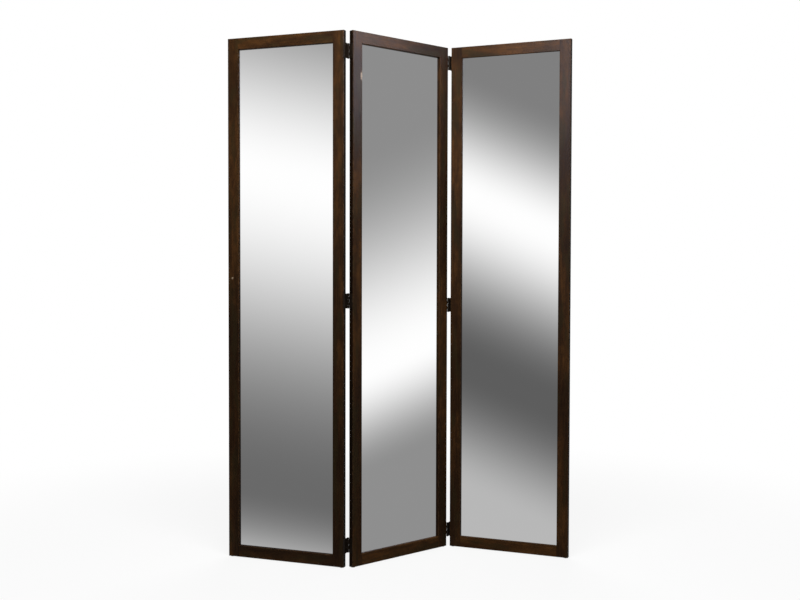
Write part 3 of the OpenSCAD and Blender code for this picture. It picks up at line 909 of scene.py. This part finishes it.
class MIRROR_OT_rails(bpy.types.Operator):
    """Stain and lacquer the six rails, with the grain level"""
    bl_idname = "floor_mirror.rails"
    bl_label = "Rails"

    def execute(self, context):
        finish = context.scene.floor_mirror_wood
        for side, panel in PANELS.items():
            for rail, warmth in RAIL_WARMTH[side].items():
                give([panel.node(rail)], wood_material(
                    f"{side} {rail} wood", panel, False, finish, warmth=warmth))
        return {"FINISHED"}


class MIRROR_OT_mirrors(bpy.types.Operator):
    """Silver the three mirrors, and keep the right panel out of its neighbour's reflection"""
    bl_idname = "floor_mirror.mirrors"
    bl_label = "Mirrors"

    def execute(self, context):
        finish = context.scene.floor_mirror_glass
        for side, panel in PANELS.items():
            give([panel.node("mirror")], mirror_material(f"{side} mirror glass", panel, finish))
        right = PANELS["right"]
        for part in ("right_stile", "top_rail", "bottom_rail", "mirror", "backing_board",
                     "side_beads", "end_beads", "dowels"):
            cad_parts[right.node(part)].visible_glossy = False
        return {"FINISHED"}


class MIRROR_OT_backs(bpy.types.Operator):
    """Finish the backing boards, the beads round them, the bead pins and the dowels"""
    bl_idname = "floor_mirror.backs"
    bl_label = "Backs"

    def execute(self, context):
        scene = context.scene
        wire = wire_material("bright wire", scene.floor_mirror_metal)
        beech = dowel_material("plain beech")
        for side, panel in PANELS.items():
            give([panel.node("backing_board")],
                 board_material(f"{side} hardboard", panel, scene.floor_mirror_glass))
            for place in ("side", "end"):
                give([panel.node(f"{place}_beads")], wood_material(
                    f"{side} {place} bead wood", panel, place == "side",
                    scene.floor_mirror_wood, warmth=BEAD_WARMTH, coated=False))
            pins = turned_piece(
                panel.node("bead_pin_set"), heads_of(panel.node("bead_pins"), panel),
                *bead_pin_shape(), [wire])
            pins.visible_glossy = side != "right"
            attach(pins, f"{side}_panel")
            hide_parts(panel.node("bead_pins"))
            give([panel.node("dowels")], beech)
        return {"FINISHED"}


class MIRROR_OT_hinges(bpy.types.Operator):
    """Blacken the hinges, their pins and their screws"""
    bl_idname = "floor_mirror.hinges"
    bl_label = "Hinges"

    def execute(self, context):
        finish = context.scene.floor_mirror_metal
        plates = bronze_material("oil-rubbed bronze", finish, wear=0.45, shine=0.40)
        pins = bronze_material("darkened pin steel", finish, wear=0.9, shine=0.34)
        screws = bronze_material("bronzed screw steel", finish, wear=0.75, shine=0.34)
        for row, sides in HINGE_ROWS.items():
            give([f"{row}_hinge_{level}_{part}" for level in HINGE_LEVELS
                  for part in ("left_leaf", "link", "right_leaf")], plates)
            give([f"{row}_hinge_pins"], pins)
            for edge, side in zip(("left", "right"), sides):
                node = f"{row}_hinge_{edge}_screws"
                driven = turned_piece(
                    f"{row}_hinge_{edge}_screw_set", heads_of(node, PANELS[side]),
                    *screw_shape(), [screws])
                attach(driven, f"{side}_panel")
                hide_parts(node)
        return {"FINISHED"}


class MIRROR_OT_small_parts(bpy.types.Operator):
    """Finish the floor glides and the catch"""
    bl_idname = "floor_mirror.small_parts"
    bl_label = "Glides and catch"

    def execute(self, context):
        finish = context.scene.floor_mirror_metal
        nylon = nylon_material("dark nylon", finish)
        nail = wire_material("glide nail", finish)
        (radius, height), nail_ring = glide_shape()
        for side, panel in PANELS.items():
            glides = turned_piece(
                panel.node("glide_set"), heads_of(panel.node("glides"), panel), radius, height,
                [nylon, nail], nail_ring)
            glides.visible_glossy = side != "right"
            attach(glides, f"{side}_panel")
            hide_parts(panel.node("glides"))
        give(["catch_pin"], brass_material("aged brass", finish))
        return {"FINISHED"}


class MIRROR_PT_panel(bpy.types.Panel):
    """The pieces of the floor mirror, in the order in which they are made"""
    bl_idname = "MIRROR_PT_panel"
    bl_label = "Floor mirror"
    bl_space_type = "VIEW_3D"
    bl_region_type = "UI"
    bl_category = "Mirror"

    def draw(self, context):
        layout = self.layout
        for step in STEPS:
            layout.operator(step.bl_idname)
        for group in SETTINGS:
            settings = getattr(context.scene, f"floor_mirror_{group}")
            box = layout.box()
            for name in settings.__annotations__:
                box.prop(settings, name)


STEPS = (
    MIRROR_OT_stage,
    MIRROR_OT_stiles,
    MIRROR_OT_rails,
    MIRROR_OT_mirrors,
    MIRROR_OT_backs,
    MIRROR_OT_hinges,
    MIRROR_OT_small_parts,
)
SETTINGS = {
    "wood": WoodFinish,
    "glass": GlassFinish,
    "metal": MetalFinish,
    "studio": StudioSettings,
}
CLASSES = (*SETTINGS.values(), *STEPS, MIRROR_PT_panel)


def register():
    for cls in CLASSES:
        bpy.utils.register_class(cls)
    for name, group in SETTINGS.items():
        setattr(bpy.types.Scene, f"floor_mirror_{name}", bpy.props.PointerProperty(type=group))


def unregister():
    for name in SETTINGS:
        delattr(bpy.types.Scene, f"floor_mirror_{name}")
    for cls in reversed(CLASSES):
        bpy.utils.unregister_class(cls)


def main():
    register()
    bpy.ops.floor_mirror.stage()
    bpy.ops.floor_mirror.stiles()
    bpy.ops.floor_mirror.rails()
    bpy.ops.floor_mirror.mirrors()
    bpy.ops.floor_mirror.backs()
    bpy.ops.floor_mirror.hinges()
    bpy.ops.floor_mirror.small_parts()


if __name__ == "__main__":
    main()
